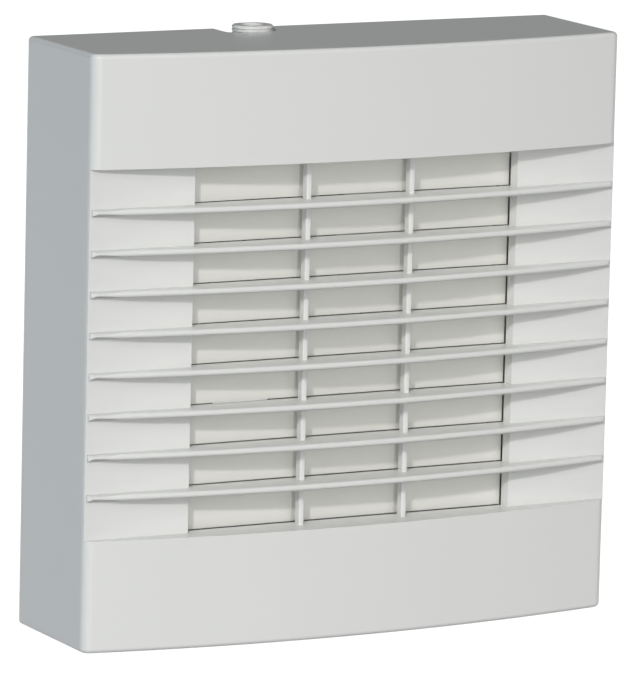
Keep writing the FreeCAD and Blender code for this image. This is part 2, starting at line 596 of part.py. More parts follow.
def actuator_bracket():
    """A moulded bracket: a base on two pads, two open clips and a bridge that guides the plunger."""
    root_y = BRACKET_BASE_Y0 + 0.5
    pieces = [block(62.0, 76.6, BRACKET_BASE_Y0, BRACKET_BASE_Y1, -44.5, 31.5),
              block(69.8, 76.6, BRACKET_BASE_Y0, BRACKET_BASE_Y1, -60.0, -44.0)]
    for floor in CLIP_FLOORS:
        top = floor + CLIP_HEIGHT
        ring = rod_z(ACTUATOR_RADIUS + CLIP_THICKNESS, ACTUATOR_X, ACTUATOR_Y, floor, top)
        web = block(ACTUATOR_X - 3.5, ACTUATOR_X + 3.5, ACTUATOR_Y, root_y, floor, top)
        seat = rod_z(ACTUATOR_RADIUS, ACTUATOR_X, ACTUATOR_Y, floor - 1, top + 1)
        mouth = block(50, 90, -50, ACTUATOR_Y - 4.5, floor - 1, top + 1)
        pieces.append(fuse([ring, web]).cut([seat, mouth]))
    pieces.append(block(ACTUATOR_X - 4.6, ACTUATOR_X + 6.0, ACTUATOR_Y - 5, root_y,
                        SPRING_TOP_Z, SPRING_TOP_Z + BRIDGE_THICKNESS))
    pieces.append(block(ACTUATOR_X - 1.2, ACTUATOR_X + 1.2, ACTUATOR_Y + 9, root_y,
                        SPRING_TOP_Z - 7, SPRING_TOP_Z + 0.5))
    holes = [rod_z(PLUNGER_RADIUS + GUIDE_CLEARANCE, ACTUATOR_X, ACTUATOR_Y, 5, 20)]
    holes += [rod_y(CLEAR_HOLE_RADIUS, x, z, -12, -5) for x, z in BRACKET_SCREWS]
    return fuse(pieces).cut(holes)


def actuator_bracket_screws():
    return small_screws(BRACKET_SCREWS, -1.8, BRACKET_BASE_Y0)


# Motor

def bearing_bracket(stack_face, away, closed):
    """A bridge over one end of the rotor that holds a bearing; away is -1 at the front and 1 at the rear."""
    outline = [(-22, 0), (-13.5, 0), (-11, 5), (11, 5), (13.5, 0), (22, 0),
               (22, 1.8), (14.3, 1.8), (12, 6.8), (-12, 6.8), (-14.3, 1.8), (-22, 1.8)]
    bridge = prism_z([(x, stack_face + away * d) for x, d in outline], -6.0, 6.0)

    def along(radius, x, near, far):
        low, high = sorted((stack_face + away * near, stack_face + away * far))
        return rod_y(radius, x, 0, low, high)

    body = fuse([bridge, along(6.0, 0, 4.0, 9.5)])
    holes = [along(BEARING_RADIUS, 0, 3.0, 8.6)]
    holes += [along(1.6 if closed else 1.55, x, -1, 4) for x, _ in MOTOR_SCREWS]
    if not closed:
        holes.append(along(2.2, 0, 3.0, 11.0))
    return body.cut(holes)


def bearing(y0):
    """A plain sleeve bearing."""
    sleeve = rod_y(BEARING_RADIUS, 0, 0, y0, y0 + BEARING_LENGTH)
    return sleeve.cut(rod_y(SHAFT_RADIUS + 0.04, 0, 0, y0 - 1, y0 + 6))


def shading_leg_places(side):
    """Where one shading ring's two legs pass through the stack."""
    return [(side * 10.6, -side * 10.0), (side * 18.0, -side * 8.0)]


def stator_core():
    """The laminated frame: rotor bore, coil window and the holes for screws and shading rings."""
    core = block(-STACK_HALF_WIDTH, STACK_HALF_WIDTH, STACK_Y0, STACK_Y1, STACK_BOTTOM_Z, STACK_TOP_Z)
    core = round_edges(core, 2.5, lambda e: runs_along(e, 1))
    holes = [rod_y(STATOR_BORE_RADIUS, 0, 0, 0, 40)]
    holes.append(block(-WINDOW_HALF_WIDTH, WINDOW_HALF_WIDTH, 0, 40, WINDOW_Z0, LIMB_Z0))
    holes += [rod_y(1.6, x, z, 0, 40) for x, z in MOTOR_SCREWS]
    holes += [rod_y(0.95, x, z, 0, 40) for side in SHADING_SIDES for x, z in shading_leg_places(side)]
    return core.cut(holes)


def shading_rings():
    """A short-circuited copper loop round one corner of each pole."""
    rings = []
    for side in SHADING_SIDES:
        (x0, z0), (x1, z1) = shading_leg_places(side)
        legs = [rod_y(0.9, x, z, STACK_Y0 - 1.0, STACK_Y1 + 1.0) for x, z in ((x0, z0), (x1, z1))]
        span = math.hypot(x1 - x0, z1 - z0)
        turn = -math.degrees(math.atan2(z1 - z0, x1 - x0))
        bars = []
        for y in (STACK_Y0 - 1.6, STACK_Y1 + 0.1):
            bar = block(-0.9, span + 0.9, y, y + 1.5, -0.9, 0.9)
            bar.rotate(V(0, 0, 0), V(0, 1, 0), turn)
            bar.translate(V(x0, 0, z0))
            bars.append(bar)
        rings.append(fuse(legs + bars))
    return rings


def limb_sleeve(grow, half_length):
    """A block round the coil's limb, larger than it by grow all round."""
    return block(-half_length, half_length, STACK_Y0 - grow, STACK_Y1 + grow,
                 LIMB_Z0 - grow, STACK_TOP_Z + grow)


def coil_bobbin():
    """The spool on the limb above the rotor."""
    flanges = [limb_sleeve(6.0, 12.8).cut(limb_sleeve(7.0, 11.5))]
    spool = fuse([limb_sleeve(1.1, 12.0)] + flanges)
    return spool.cut(limb_sleeve(0.1, 20.0))


def motor_coil():
    """The winding that fills the spool."""
    winding = round_edges(limb_sleeve(5.1, 11.4), 2.8, lambda e: runs_along(e, 0))
    return winding.cut(limb_sleeve(1.2, 20.0))


def around_shaft(radius, start_y, end_y, hole=SHAFT_RADIUS):
    """A disc round the shaft."""
    return rod_y(radius, 0, 0, start_y, end_y).cut(rod_y(hole, 0, 0, start_y - 1, end_y + 1))


def cage_bars(y0, y1):
    """The bars of the squirrel cage, or the slots they fill."""
    bars = []
    for index in range(CAGE_BARS):
        angle = 2 * math.pi * index / CAGE_BARS
        x, z = CAGE_BAR_PLACE * math.cos(angle), CAGE_BAR_PLACE * math.sin(angle)
        bars.append(rod_y(CAGE_BAR_RADIUS, x, z, y0, y1))
    return bars


def rotor_core():
    return around_shaft(ROTOR_RADIUS, STACK_Y0 + 0.2, STACK_Y1 - 0.2).cut(cage_bars(0, 40))


def rotor_cage():
    """Two end rings joined by the bars through the rotor's slots."""
    rings = [around_shaft(11.0, y, y + 2.2, 6.5) for y in (STACK_Y0 - 2.0, STACK_Y1 - 0.2)]
    return fuse(rings + cage_bars(STACK_Y0, STACK_Y1))


def motor_shaft():
    shaft = rod_y(SHAFT_RADIUS, 0, 0, STACK_Y0 - 8.4, 51.5)
    return round_edges(shaft, 0.4, lambda e: isinstance(e.Curve, Part.Circle))


def thrust_washers():
    return [around_shaft(WASHER_RADIUS, y, y + 0.7, SHAFT_RADIUS + 0.02) for y in (8.2, 29.1)]


def motor_screws():
    return [screw((x, STACK_Y1 + 2.8, z), (x, 1.0, z), 1.5, 2.8, 1.9) for x, z in MOTOR_SCREWS]


# Impeller

def impeller_section(radius):
    """One blade's section at a radius: a thin arched strip, steeper near the hub."""
    share = (radius - HUB_RADIUS) / (IMPELLER_RADIUS - HUB_RADIUS)
    reach = 6.0 + 5.5 * share
    arch = 1.6 + 0.5 * share
    y0, y1 = IMPELLER_Y0 + 0.6, IMPELLER_Y1 - 0.8
    middle = (y0 + y1) / 2
    half = 0.8 - 0.15 * share
    low = Part.Arc(V(radius, y0, -reach), V(radius, middle + arch - half, 0.4 - half), V(radius, y1, reach))
    high = Part.Arc(V(radius, y0 + 0.7, -reach - 0.5), V(radius, middle + arch + half, -half - 1.0),
                    V(radius, y1 + 0.7, reach - 0.5))
    rear_edge = Part.makeLine(V(radius, y1, reach), V(radius, y1 + 0.7, reach - 0.5))
    front_edge = Part.makeLine(V(radius, y0 + 0.7, -reach - 0.5), V(radius, y0, -reach))
    return Part.Wire([low.toShape(), rear_edge, high.toShape(), front_edge])


def turned_copies(shape, count):
    """Copies of a shape, evenly spaced round the duct's axis."""
    copies = []
    for index in range(count):
        turned = shape.copy()
        turned.rotate(V(0, 0, 0), V(0, 1, 0), 360 * index / count)
        copies.append(turned)
    return copies


def impeller():
    """A cup-shaped hub with twisted blades."""
    hub = rod_y(HUB_RADIUS, 0, 0, IMPELLER_Y0 - 0.5, IMPELLER_Y1)
    hub = round_edges(hub, 2.5, lambda e: e.CenterOfMass.y > IMPELLER_Y1 - 0.1)
    hub = hub.cut(rod_y(HUB_RADIUS - 1.6, 0, 0, 0, IMPELLER_Y1 - 1.8))
    boss = rod_y(4.6, 0, 0, IMPELLER_Y1 - 11.4, IMPELLER_Y1 - 1)
    rib = block(4, HUB_RADIUS - 1, IMPELLER_Y1 - 6, IMPELLER_Y1 - 1, -0.6, 0.6)
    web = turned_copies(rib, HUB_RIBS)
    sections = [impeller_section(radius) for radius in (HUB_RADIUS - 1, 32.0, IMPELLER_RADIUS + 2)]
    blade = Part.makeLoft(sections, True, False)
    blade = blade.common(rod_y(IMPELLER_RADIUS, 0, 0, 0, 60))
    blade = blade.cut(rod_y(HUB_RADIUS - 0.5, 0, 0, 0, 60))
    blades = turned_copies(blade, IMPELLER_BLADES)
    return fuse([hub, boss] + web + blades).cut(rod_y(SHAFT_RADIUS, 0, 0, 0, 60))


def impeller_clip():
    """A push-on collar that holds the impeller on the shaft's end."""
    disc = around_shaft(5.0, IMPELLER_Y1, IMPELLER_Y1 + 0.8)
    sleeve = around_shaft(2.8, IMPELLER_Y1, IMPELLER_Y1 + 2.4)
    return fuse([disc, sleeve])


# Wiring

def terminal_block():
    """A three-way block with a screw lug at each end."""
    body = block(ENTRY_X - 11.5, ENTRY_X + 11.5, TERMINAL_Y0, TERMINAL_Y1, TERMINAL_Z0, TERMINAL_Z1)
    body = round_edges(body, 0.8, lambda e: runs_along(e, 2))
    lugs = block(ENTRY_X - 18.7, ENTRY_X + 18.7, TERMINAL_Y1 - 3, TERMINAL_Y1,
                 TERMINAL_MIDDLE_Z - 3, TERMINAL_MIDDLE_Z + 3)
    holes = [rod_y(CLEAR_HOLE_RADIUS, x, z, -20, 0) for x, z in TERMINAL_SCREWS]
    for x in WAYS_X:
        holes.append(rod_z(2.1, x, WAY_Y, 50, 80))
        holes.append(block(x - 2.4, x + 2.4, WAY_Y - 2.4, WAY_Y + 2.4, TERMINAL_Z0 + 2, TERMINAL_Z1 - 2))
        holes.append(rod_y(1.9, x, TERMINAL_MIDDLE_Z, -30, WAY_Y))
    return fuse([body, lugs]).cut(holes)


def terminal_inserts():
    """A brass tunnel in each way."""
    inserts = []
    for x in WAYS_X:
        tunnel = block(x - 2.3, x + 2.3, WAY_Y - 2.3, WAY_Y + 2.3, TERMINAL_Z0 + 2.1, TERMINAL_Z1 - 2.1)
        wire_hole = rod_z(1.6, x, WAY_Y, 50, 80)
        screw_hole = rod_y(1.3, x, TERMINAL_MIDDLE_Z, -30, WAY_Y)
        inserts.append(tunnel.cut([wire_hole, screw_hole]))
    return inserts


def terminal_screws():
    return [screw((x, WAY_Y - 0.6, TERMINAL_MIDDLE_Z), (x, WAY_Y - 3.6, TERMINAL_MIDDLE_Z),
                  SCREW_RADIUS, 1.7, 1.4, 0.6) for x in WAYS_X]


def terminal_block_screws():
    return small_screws(TERMINAL_SCREWS, -1.6, TERMINAL_Y1 - 3)


def cable_clamp():
    """The bar that presses the supply cable against the plate."""
    bar = block(ENTRY_X - 12, ENTRY_X + 12, CLAMP_GAP_Y - 2.5, CLAMP_GAP_Y,
                CLAMP_Z - 2.1, CLAMP_Z + 2.1)
    bar = round_edges(bar, 1.5, lambda e: runs_along(e, 1))
    grip = rod_x(1.2, CLAMP_GAP_Y, CLAMP_Z, ENTRY_X - 4.5, ENTRY_X + 4.5)
    return fuse([bar, grip]).cut([rod_y(CLEAR_HOLE_RADIUS, x, z, -20, 0) for x, z in CLAMP_SCREWS])


def cable_clamp_screws():
    return small_screws(CLAMP_SCREWS, -1.6, CLAMP_GAP_Y - 2.5)


def motor_leads():
    """Two wires from the coil, out past the duct's mouth and up into the terminal block."""
    routes = []
    for start_x, end_x in ((-6.0, WAYS_X[0]), (-1.0, WAYS_X[1] - 0.9)):
        routes.append([(start_x, STACK_Y0 - 5.1, 33.0), (start_x, -4.4, 33.0), (start_x - 4, -4.4, 43.0),
                       (end_x, -4.4, 51.0), (end_x, WAY_Y, 53.5), (end_x, WAY_Y, TERMINAL_Z0 + 1.6)])
    return [lead(route, WIRE_RADIUS) for route in routes]


def actuator_leads():
    """Two wires from the actuator's base, up behind its bracket and across to the terminal block."""
    routes = []
    for x, turn_z, end_x in ((67.6, 54.0, WAYS_X[2]), (65.4, 51.6, WAYS_X[1] + 0.9)):
        routes.append([(x, ACTUATOR_Y, ACTUATOR_BOTTOM_Z), (x, ACTUATOR_Y, -53.4), (x, -4.6, -53.4),
                       (x, -4.6, -20.0), (x - 0.6, -4.6, 18.0), (x, -4.6, turn_z), (end_x + 22, -4.6, turn_z),
                       (end_x, -5.4, turn_z), (end_x, WAY_Y, turn_z + 0.6),
                       (end_x, WAY_Y, TERMINAL_Z0 + 1.6)])
    return [lead(route, WIRE_RADIUS) for route in routes]


NODES = {
    "front_cover": front_cover,
    "cover_screw": cover_screw,
    "back_plate": back_plate,
    "duct_spigot": duct_spigot,
    "wall_gasket": wall_gasket,
    "cable_entry_grommet": cable_entry_grommet,
    "shutter_frame": shutter_frame,
    "shutter_frame_screws": shutter_frame_screws,
    "shutter_link_bar": shutter_link_bar,
    "actuator_body": actuator_body,
    "actuator_plunger": actuator_plunger,
    "return_spring": return_spring,
    "actuator_bracket": actuator_bracket,
    "actuator_bracket_screws": actuator_bracket_screws,
    "actuator_leads": actuator_leads,
    "stator_core": stator_core,
    "shading_rings": shading_rings,
    "coil_bobbin": coil_bobbin,
    "motor_coil": motor_coil,
    "rotor_core": rotor_core,
    "rotor_cage": rotor_cage,
    "motor_shaft": motor_shaft,
    "thrust_washers": thrust_washers,
    "front_bearing_bracket": lambda: bearing_bracket(STACK_Y0, -1, True),
    "rear_bearing_bracket": lambda: bearing_bracket(STACK_Y1, 1, False),
    "front_bearing": lambda: bearing(STACK_Y0 - 8.55),
    "rear_bearing": lambda: bearing(STACK_Y1 + 4.15),
    "motor_screws": motor_screws,
    "impeller": impeller,
    "impeller_clip": impeller_clip,
    "terminal_block": terminal_block,
    "terminal_inserts": terminal_inserts,
    "terminal_screws": terminal_screws,
    "terminal_block_screws": terminal_block_screws,
    "cable_clamp": cable_clamp,
    "cable_clamp_screws": cable_clamp_screws,
    "motor_leads": motor_leads,
}

for node, make in NODES.items():
    made = make()
    save(node, Part.makeCompound(made) if isinstance(made, list) else made)

for index in range(BLADE_COUNT):
    save("shutter_blade_" + str(index + 1), shutter_blade(index))
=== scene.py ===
import json
import math

import bmesh
import bpy
from mathutils import Matrix, Vector


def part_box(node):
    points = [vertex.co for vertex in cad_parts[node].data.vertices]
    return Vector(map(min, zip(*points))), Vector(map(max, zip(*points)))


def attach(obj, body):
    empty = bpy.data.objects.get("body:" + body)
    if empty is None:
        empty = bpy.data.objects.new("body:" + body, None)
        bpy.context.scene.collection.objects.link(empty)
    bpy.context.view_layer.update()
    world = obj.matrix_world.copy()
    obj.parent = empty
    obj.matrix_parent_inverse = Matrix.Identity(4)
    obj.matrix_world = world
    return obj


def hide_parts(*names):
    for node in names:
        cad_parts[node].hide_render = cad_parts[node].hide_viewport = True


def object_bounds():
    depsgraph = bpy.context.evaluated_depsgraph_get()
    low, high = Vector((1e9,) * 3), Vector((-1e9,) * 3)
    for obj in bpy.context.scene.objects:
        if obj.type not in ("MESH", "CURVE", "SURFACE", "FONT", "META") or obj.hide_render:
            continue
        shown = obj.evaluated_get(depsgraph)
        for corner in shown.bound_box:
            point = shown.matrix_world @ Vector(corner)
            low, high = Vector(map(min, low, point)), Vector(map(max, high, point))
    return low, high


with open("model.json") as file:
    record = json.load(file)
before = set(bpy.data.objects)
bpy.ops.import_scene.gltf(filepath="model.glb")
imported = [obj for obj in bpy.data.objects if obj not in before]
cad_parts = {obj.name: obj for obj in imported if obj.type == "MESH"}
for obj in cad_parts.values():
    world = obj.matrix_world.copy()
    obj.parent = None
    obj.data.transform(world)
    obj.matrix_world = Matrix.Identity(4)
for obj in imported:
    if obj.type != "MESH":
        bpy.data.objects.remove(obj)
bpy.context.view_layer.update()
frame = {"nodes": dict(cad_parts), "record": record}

MM = 0.001

# Viewpoint: a long lens to the left of the front and a little above it
VIEW_AZIMUTH = math.radians(28.08)
VIEW_ELEVATION = math.radians(10.01)
VIEW_DISTANCE = 1.778
VIEW_ROLL = 0.025
VIEW_AIM = Vector((0.0084, -0.0057, -0.0060))
LENS_MM = 335.8
SENSOR_MM = 36.0

# Lights: name, azimuth to the left of the front, elevation, strength, angular size, colour
LIGHTS = (
    ("key", 41.5, 26.8, 1.16, 4.0, (1.0, 0.99, 0.97)),
    ("window", 8.0, 34.0, 0.85, 60.0, (1.0, 1.0, 1.0)),
    ("front", 12.0, 5.0, 0.70, 12.0, (1.0, 1.0, 0.99)),
    ("sky", 98.0, 6.0, 0.16, 40.0, (0.40, 0.95, 1.5)),
)
AMBIENT = 0.09

# Detail
SHARP_ANGLE = math.radians(28.0)
COIL_TURNS = 36
COLUMNS_PER_TURN = 8
WINDING_DEPTH = 3.6 * MM
WINDING_CORNER = 2.8 * MM
CORNER_STEPS = 6
WINDING_SHARP_ANGLE = math.radians(70)
PLATE_COUNT = 20
PLATE_SHARE = 0.86
SAME_PLACE = 0.001 * MM

# Stage
FLOOR_DROP = 0.55
FLOOR_HALF_SIZE = 12.0


# Node helpers

def new_material(name):
    """An empty node material with a shader wired to its output."""
    material = bpy.data.materials.new(name)
    material.use_nodes = True
    tree = material.node_tree
    tree.nodes.clear()
    shader = tree.nodes.new("ShaderNodeBsdfPrincipled")
    output = tree.nodes.new("ShaderNodeOutputMaterial")
    tree.links.new(shader.outputs["BSDF"], output.inputs["Surface"])
    return material, tree, shader


def add_node(tree, kind, values=None, **settings):
    """A node with its settings and unlinked inputs filled in."""
    node = tree.nodes.new(kind)
    for key, value in settings.items():
        setattr(node, key, value)
    for key, value in (values or {}).items():
        node.inputs[key].default_value = value
    return node


def object_space(tree, scale=(1.0, 1.0, 1.0)):
    """Object coordinates, stretched along the axes."""
    coordinates = add_node(tree, "ShaderNodeTexCoord")
    mapping = add_node(tree, "ShaderNodeMapping")
    mapping.inputs["Scale"].default_value = scale
    tree.links.new(coordinates.outputs["Object"], mapping.inputs["Vector"])
    return mapping.outputs["Vector"]


def noise(tree, vector, scale, detail=3.0, roughness=0.55):
    """A noise texture's value."""
    node = add_node(tree, "ShaderNodeTexNoise", {"Scale": scale, "Detail": detail, "Roughness": roughness})
    tree.links.new(vector, node.inputs["Vector"])
    return node.outputs["Fac"]


def spread(tree, value, low, high):
    """Stretches a 0 to 1 value over a range."""
    node = add_node(tree, "ShaderNodeMapRange", {"To Min": low, "To Max": high})
    tree.links.new(value, node.inputs["Value"])
    return node.outputs["Result"]


def blend_colours(tree, factor, first, second):
    """A mix of two colours, either of which may be a socket."""
    node = add_node(tree, "ShaderNodeMix", data_type="RGBA")
    tree.links.new(factor, node.inputs["Factor"])
    for socket, colour in ((node.inputs[6], first), (node.inputs[7], second)):
        if isinstance(colour, tuple):
            socket.default_value = (*colour, 1.0)
        else:
            tree.links.new(colour, socket)
    return node.outputs[2]


def bump(tree, height, distance, strength=1.0, under=None):
    """A bump from a height value, over another normal if given."""
    node = add_node(tree, "ShaderNodeBump", {"Distance": distance, "Strength": strength})
    tree.links.new(height, node.inputs["Height"])
    if under is not None:
        tree.links.new(under, node.inputs["Normal"])
    return node.outputs["Normal"]


def soft_edge(tree, radius):
    """A normal that rounds sharp edges."""
    node = add_node(tree, "ShaderNodeBevel", {"Radius": radius}, samples=4)
    return node.outputs["Normal"]


# Materials

def moulded_plastic(name, light, dark, roughness, grain, edge=0.25, coat=0.0):
    """Moulded plastic: a faint cloud in the colour, painted shade darkening it in creases and recesses, flow
    waviness, and the mould's spark-eroded grain.
    """
    material, tree, shader = new_material(name)
    where = object_space(tree)
    cloud = noise(tree, where, 28.0, 4.0)
    speck = noise(tree, where, 900.0, 2.0)
    body = blend_colours(tree, cloud, dark, light)
    # Painted shade: ambient occlusion darkens the colour towards 80% of the dark tone in creases, recesses
    # and gaps between parts
    occlusion = add_node(tree, "ShaderNodeAmbientOcclusion", {"Distance": 4 * MM}, samples=4)
    painted_shade_mask = spread(tree, occlusion.outputs["AO"], 0.0, 1.0)
    dust_and_painted_shade = tuple(channel * 0.80 for channel in dark)
    tree.links.new(blend_colours(tree, painted_shade_mask, dust_and_painted_shade, body), shader.inputs["Base Color"])
    tree.links.new(spread(tree, speck, roughness - 0.05, roughness + 0.08), shader.inputs["Roughness"])
    wavy = bump(tree, noise(tree, where, 16.0, 1.0), 0.25 * MM, 0.25, soft_edge(tree, edge * MM))
    grained = bump(tree, noise(tree, where, 2600.0, 2.0), grain * MM, 0.5, wavy)
    tree.links.new(grained, shader.inputs["Normal"])
    shader.inputs["IOR"].default_value = 1.49
    shader.inputs["Coat Weight"].default_value = coat
    shader.inputs["Coat Roughness"].default_value = 0.12
    return material


def brushed_metal(name, light, dark, roughness, stretch, edge=0.15):
    """Metal with drawn or brushed streaks and patchy tarnish."""
    material, tree, shader = new_material(name)
    streaks = noise(tree, object_space(tree, stretch), 300.0, 4.0)
    patches = noise(tree, object_space(tree), 60.0, 3.0)
    tree.links.new(blend_colours(tree, patches, dark, light), shader.inputs["Base Color"])
    tree.links.new(spread(tree, streaks, roughness - 0.10, roughness + 0.14), shader.inputs["Roughness"])
    tree.links.new(bump(tree, streaks, 0.02 * MM, 0.6, soft_edge(tree, edge * MM)), shader.inputs["Normal"])
    shader.inputs["Metallic"].default_value = 1.0
    return material


def laminated_steel(name):
    """A varnished stack: fine lines across Y and a brownish film."""
    material, tree, shader = new_material(name)
    bands = add_node(tree, "ShaderNodeTexWave", {"Scale": 1.0, "Distortion": 0.6, "Detail": 2.0},
                     wave_type="BANDS", bands_direction="Y")
    tree.links.new(object_space(tree, (1.0, 320.0, 1.0)), bands.inputs["Vector"])
    film = noise(tree, object_space(tree), 120.0, 4.0)
    varnish = blend_colours(tree, film, (0.05, 0.052, 0.056), (0.15, 0.14, 0.13))
    tree.links.new(varnish, shader.inputs["Base Color"])
    tree.links.new(spread(tree, film, 0.32, 0.52), shader.inputs["Roughness"])
    tree.links.new(bump(tree, bands.outputs["Fac"], 0.06 * MM, 0.8), shader.inputs["Normal"])
    shader.inputs["Metallic"].default_value = 0.8
    return material


def closed_foam(name):
    """Dark closed-cell foam: round cells and a dusty sheen."""
    material, tree, shader = new_material(name)
    cells = add_node(tree, "ShaderNodeTexVoronoi", {"Scale": 1400.0})
    tree.links.new(object_space(tree), cells.inputs["Vector"])
    mottle = noise(tree, object_space(tree), 200.0, 3.0)
    dust_and_painted_shade = blend_colours(tree, mottle, (0.030, 0.030, 0.032), (0.060, 0.060, 0.062))
    tree.links.new(dust_and_painted_shade, shader.inputs["Base Color"])
    tree.links.new(bump(tree, cells.outputs["Distance"], 0.15 * MM, 0.8), shader.inputs["Normal"])
    shader.inputs["Roughness"].default_value = 0.92
    return material


def enamelled_wire(name):
    """Copper wire under a clear enamel."""
    material, tree, shader = new_material(name)
    tint = noise(tree, object_space(tree), 400.0, 3.0)
    copper = blend_colours(tree, tint, (0.42, 0.13, 0.05), (0.72, 0.30, 0.13))
    tree.links.new(copper, shader.inputs["Base Color"])
    tree.links.new(spread(tree, tint, 0.22, 0.36), shader.inputs["Roughness"])
    shader.inputs["Metallic"].default_value = 0.9
    shader.inputs["Coat Weight"].default_value = 0.6
    shader.inputs["Coat Roughness"].default_value = 0.08
    return material


def wire_sleeve(name):
    """Flexible insulation with a slight orange-peel."""
    material, tree, shader = new_material(name)
    where = object_space(tree)
    tint = blend_colours(tree, noise(tree, where, 300.0), (0.030, 0.032, 0.038), (0.055, 0.057, 0.065))
    tree.links.new(tint, shader.inputs["Base Color"])
    tree.links.new(bump(tree, noise(tree, where, 1500.0), 0.05 * MM, 0.6), shader.inputs["Normal"])
    shader.inputs["Roughness"].default_value = 0.42
    return material


def floor_surface(name):
    """Pale studio floor with a very faint mottle."""
    material, tree, shader = new_material(name)
    mottle = noise(tree, object_space(tree), 3.0, 2.0)
    pale = blend_colours(tree, mottle, (0.86, 0.86, 0.86), (0.89, 0.89, 0.89))
    tree.links.new(pale, shader.inputs["Base Color"])
    shader.inputs["Roughness"].default_value = 0.8
    shader.inputs["Emission Color"].default_value = (1.0, 1.0, 1.0, 1.0)
    shader.inputs["Emission Strength"].default_value = 0.75
    return material


# Surfaces by material slot of the record

SURFACES = {
    "cover_plastic": moulded_plastic(
        "cover_plastic", (0.835, 0.840, 0.822), (0.815, 0.822, 0.806), 0.30, 0.010),
    "plate_plastic": moulded_plastic("plate_plastic", (0.80, 0.80, 0.785), (0.77, 0.77, 0.755), 0.46, 0.020),
    "shutter_plastic": moulded_plastic(
        "shutter_plastic", (0.815, 0.812, 0.77), (0.79, 0.785, 0.745), 0.30, 0.012),
    "impeller_plastic": moulded_plastic(
        "impeller_plastic", (0.070, 0.074, 0.082), (0.050, 0.053, 0.060), 0.42, 0.02),
    "bracket_plastic": moulded_plastic(
        "bracket_plastic", (0.030, 0.030, 0.033), (0.018, 0.018, 0.020), 0.40, 0.02),
    "terminal_plastic": moulded_plastic(
        "terminal_plastic", (0.66, 0.64, 0.55), (0.58, 0.56, 0.48), 0.38, 0.015),
    "bobbin_plastic": moulded_plastic("bobbin_plastic", (0.50, 0.46, 0.36), (0.42, 0.39, 0.31), 0.40, 0.015),
    "gasket_foam": closed_foam("gasket_foam"),
    "zinc_steel": brushed_metal("zinc_steel", (0.66, 0.67, 0.68), (0.50, 0.51, 0.53), 0.30, (1.0, 1.0, 1.0)),
    "lamination_steel": laminated_steel("lamination_steel"),
    "bracket_alloy": brushed_metal(
        "bracket_alloy", (0.70, 0.71, 0.72), (0.55, 0.56, 0.58), 0.42, (1.0, 1.0, 1.0)),
    "cage_alloy": brushed_metal("cage_alloy", (0.74, 0.75, 0.76), (0.60, 0.61, 0.63), 0.36, (1.0, 6.0, 1.0)),
    "bearing_bronze": brushed_metal(
        "bearing_bronze", (0.58, 0.36, 0.16), (0.40, 0.24, 0.11), 0.40, (1.0, 1.0, 1.0)),
    "terminal_brass": brushed_metal(
        "terminal_brass", (0.80, 0.60, 0.26), (0.62, 0.45, 0.18), 0.28, (1.0, 1.0, 8.0)),
    "copper_wire": enamelled_wire("copper_wire"),
    "spring_steel": brushed_metal(
        "spring_steel", (0.60, 0.61, 0.63), (0.42, 0.43, 0.45), 0.26, (1.0, 1.0, 1.0)),
    "shaft_steel": brushed_metal(
        "shaft_steel", (0.74, 0.75, 0.77), (0.62, 0.63, 0.65), 0.16, (1.0, 12.0, 1.0)),
    "actuator_metal": brushed_metal(
        "actuator_metal", (0.62, 0.55, 0.42), (0.44, 0.39, 0.30), 0.34, (1.0, 1.0, 9.0)),
    "wire_sleeve": wire_sleeve("wire_sleeve"),
}


def dress_cad_nodes():
    """Gives every CAD node its surface, and smooth shading between its sharp edges."""
    slots = {part["node"]: part["material_slot"] for part in frame["record"]["subparts"]}
    for name, node in frame["nodes"].items():
        node.data.materials.clear()
        node.data.materials.append(SURFACES[slots[name]])
        node.data.shade_smooth()
        node.data.set_sharp_from_angle(angle=SHARP_ANGLE)


# Detailed pieces in place of plain CAD solids

def new_piece(name, mesh, body, node, slot):
    """A visible piece that rides on a body and stands for a CAD node."""
    piece = bpy.data.objects.new(name, mesh)
    mesh.materials.append(SURFACES[slot])
    bpy.context.scene.collection.objects.link(piece)
    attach(piece, body)
    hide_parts(node)
    return piece


def rounded_loop(low, high, radius, steps):
    """Points and outward normals round a rounded rectangle, from its two corners."""
    centres = ((high[0] - radius, high[1] - radius), (low[0] + radius, high[1] - radius),
               (low[0] + radius, low[1] + radius), (high[0] - radius, low[1] + radius))
    loop = []
    for quarter, (across, up) in enumerate(centres):
        for step in range(steps + 1):
            angle = math.pi / 2 * (quarter + step / steps)
            out = (math.cos(angle), math.sin(angle))
            loop.append(((across + radius * out[0], up + radius * out[1]), out))
    return loop


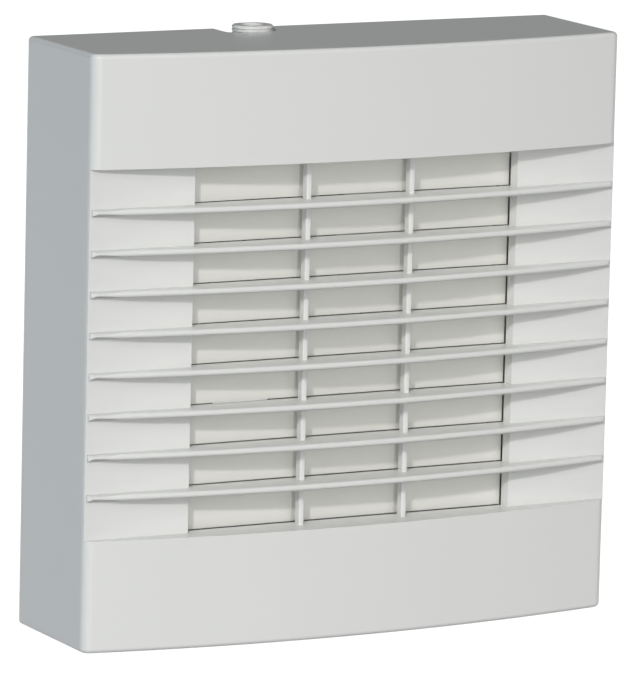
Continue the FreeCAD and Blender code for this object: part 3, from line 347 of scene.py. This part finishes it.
def winding_turns():
    """The coil as turns of enamelled wire laid side by side in a shallow helix round the limb."""
    low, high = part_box("motor_coil")
    wire = (high[0] - low[0]) / COIL_TURNS
    loop = rounded_loop((low[1], low[2]), (high[1], high[2]), WINDING_CORNER, CORNER_STEPS)
    around = [0.0]
    for (here, _), (there, _) in zip(loop, loop[1:]):
        around.append(around[-1] + math.dist(here, there))
    length = around[-1] + math.dist(loop[-1][0], loop[0][0])
    columns = COIL_TURNS * COLUMNS_PER_TURN
    mesh = bpy.data.meshes.new("winding_turns")
    shape = bmesh.new()
    rings = []
    for (place, out), run in zip(loop, around):
        ring = []
        for column in range(columns + 1):
            share = column / columns
            phase = (share * COIL_TURNS + run / length) % 1.0
            dip = wire / 2 * (1 - math.sqrt(1 - (2 * phase - 1) ** 2))
            ring.append(shape.verts.new((low[0] + share * (high[0] - low[0]),
                                         place[0] - dip * out[0], place[1] - dip * out[1])))
        for side in (high[0], low[0]):
            ring.append(shape.verts.new((side, place[0] - WINDING_DEPTH * out[0],
                                         place[1] - WINDING_DEPTH * out[1])))
        rings.append(ring)
    for ring, after in zip(rings, rings[1:] + rings[:1]):
        for index in range(len(ring)):
            beside = (index + 1) % len(ring)
            shape.faces.new((ring[index], ring[beside], after[beside], after[index]))
    bmesh.ops.recalc_face_normals(shape, faces=shape.faces)
    shape.to_mesh(mesh)
    shape.free()
    mesh.shade_smooth()
    mesh.set_sharp_from_angle(angle=WINDING_SHARP_ANGLE)
    new_piece("winding_turns", mesh, "housing", "motor_coil", "copper_wire")


def lamination_stack():
    """The stator core as thin plates, each pressed from the core's own outline."""
    low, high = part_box("stator_core")
    pitch = (high[1] - low[1]) / PLATE_COUNT
    shape = bmesh.new()
    shape.from_mesh(frame["nodes"]["stator_core"].data)
    behind = [face for face in shape.faces if face.calc_center_median().y > low[1] + SAME_PLACE]
    bmesh.ops.delete(shape, geom=behind, context="FACES")
    bmesh.ops.remove_doubles(shape, verts=shape.verts, dist=SAME_PLACE)
    grown = bmesh.ops.extrude_face_region(shape, geom=shape.faces[:], use_keep_orig=True)["geom"]
    moved = [item for item in grown if isinstance(item, bmesh.types.BMVert)]
    bmesh.ops.translate(shape, verts=moved, vec=(0.0, pitch * PLATE_SHARE, 0.0))
    bmesh.ops.recalc_face_normals(shape, faces=shape.faces)
    mesh = bpy.data.meshes.new("lamination_plates")
    shape.to_mesh(mesh)
    shape.free()
    piece = new_piece("lamination_plates", mesh, "housing", "stator_core", "lamination_steel")
    stack = piece.modifiers.new("stack", "ARRAY")
    stack.use_relative_offset = False
    stack.use_constant_offset = True
    stack.constant_offset_displace = (0.0, pitch, 0.0)
    stack.count = PLATE_COUNT


# Stage

def direction(azimuth, elevation):
    """Unit vector from the object towards a light or camera; azimuth is to the left of the front."""
    flat = math.cos(elevation)
    return Vector((-math.sin(azimuth) * flat, -math.cos(azimuth) * flat, math.sin(elevation)))


def add_lights():
    """Distant lights, from a small key to broad soft fills."""
    for name, azimuth, elevation, strength, size, colour in LIGHTS:
        light = bpy.data.lights.new(name, "SUN")
        light.energy = strength
        light.angle = math.radians(size)
        light.color = colour
        lamp = bpy.data.objects.new(name, light)
        towards = direction(math.radians(azimuth), math.radians(elevation))
        lamp.rotation_mode = "QUATERNION"
        lamp.rotation_quaternion = towards.to_track_quat("Z", "Y")
        bpy.context.scene.collection.objects.link(lamp)


def add_world():
    """Even, slightly cool surroundings."""
    world = bpy.data.worlds.new("studio")
    world.use_nodes = True
    background = world.node_tree.nodes["Background"]
    background.inputs["Color"].default_value = (0.92, 0.97, 1.0, 1.0)
    background.inputs["Strength"].default_value = AMBIENT
    bpy.context.scene.world = world


def add_floor():
    """A pale floor well below the object, which hangs on a wall in use."""
    mesh = bpy.data.meshes.new("floor")
    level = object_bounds()[0][2] - FLOOR_DROP
    corners = [(across * FLOOR_HALF_SIZE, along * FLOOR_HALF_SIZE, level)
               for across, along in ((-1, -1), (1, -1), (1, 1), (-1, 1))]
    mesh.from_pydata(corners, [], [(0, 1, 2, 3)])
    floor = bpy.data.objects.new("floor", mesh)
    floor.data.materials.append(floor_surface("floor"))
    floor.visible_diffuse = False
    bpy.context.scene.collection.objects.link(floor)


def add_camera():
    """The camera: aimed, rolled a little, with a long lens."""
    back = direction(VIEW_AZIMUTH, VIEW_ELEVATION)
    data = bpy.data.cameras.new("camera")
    data.lens = LENS_MM
    data.sensor_width = SENSOR_MM
    camera = bpy.data.objects.new("camera", data)
    roll = Matrix.Rotation(VIEW_ROLL, 4, back)
    turn = back.to_track_quat("Z", "Y").to_matrix().to_4x4()
    camera.matrix_world = Matrix.Translation(VIEW_AIM + back * VIEW_DISTANCE) @ roll @ turn
    bpy.context.scene.collection.objects.link(camera)
    bpy.context.scene.camera = camera


bpy.context.scene.view_settings.view_transform = "Standard"
dress_cad_nodes()
winding_turns()
lamination_stack()
add_world()
add_lights()
add_floor()
add_camera()
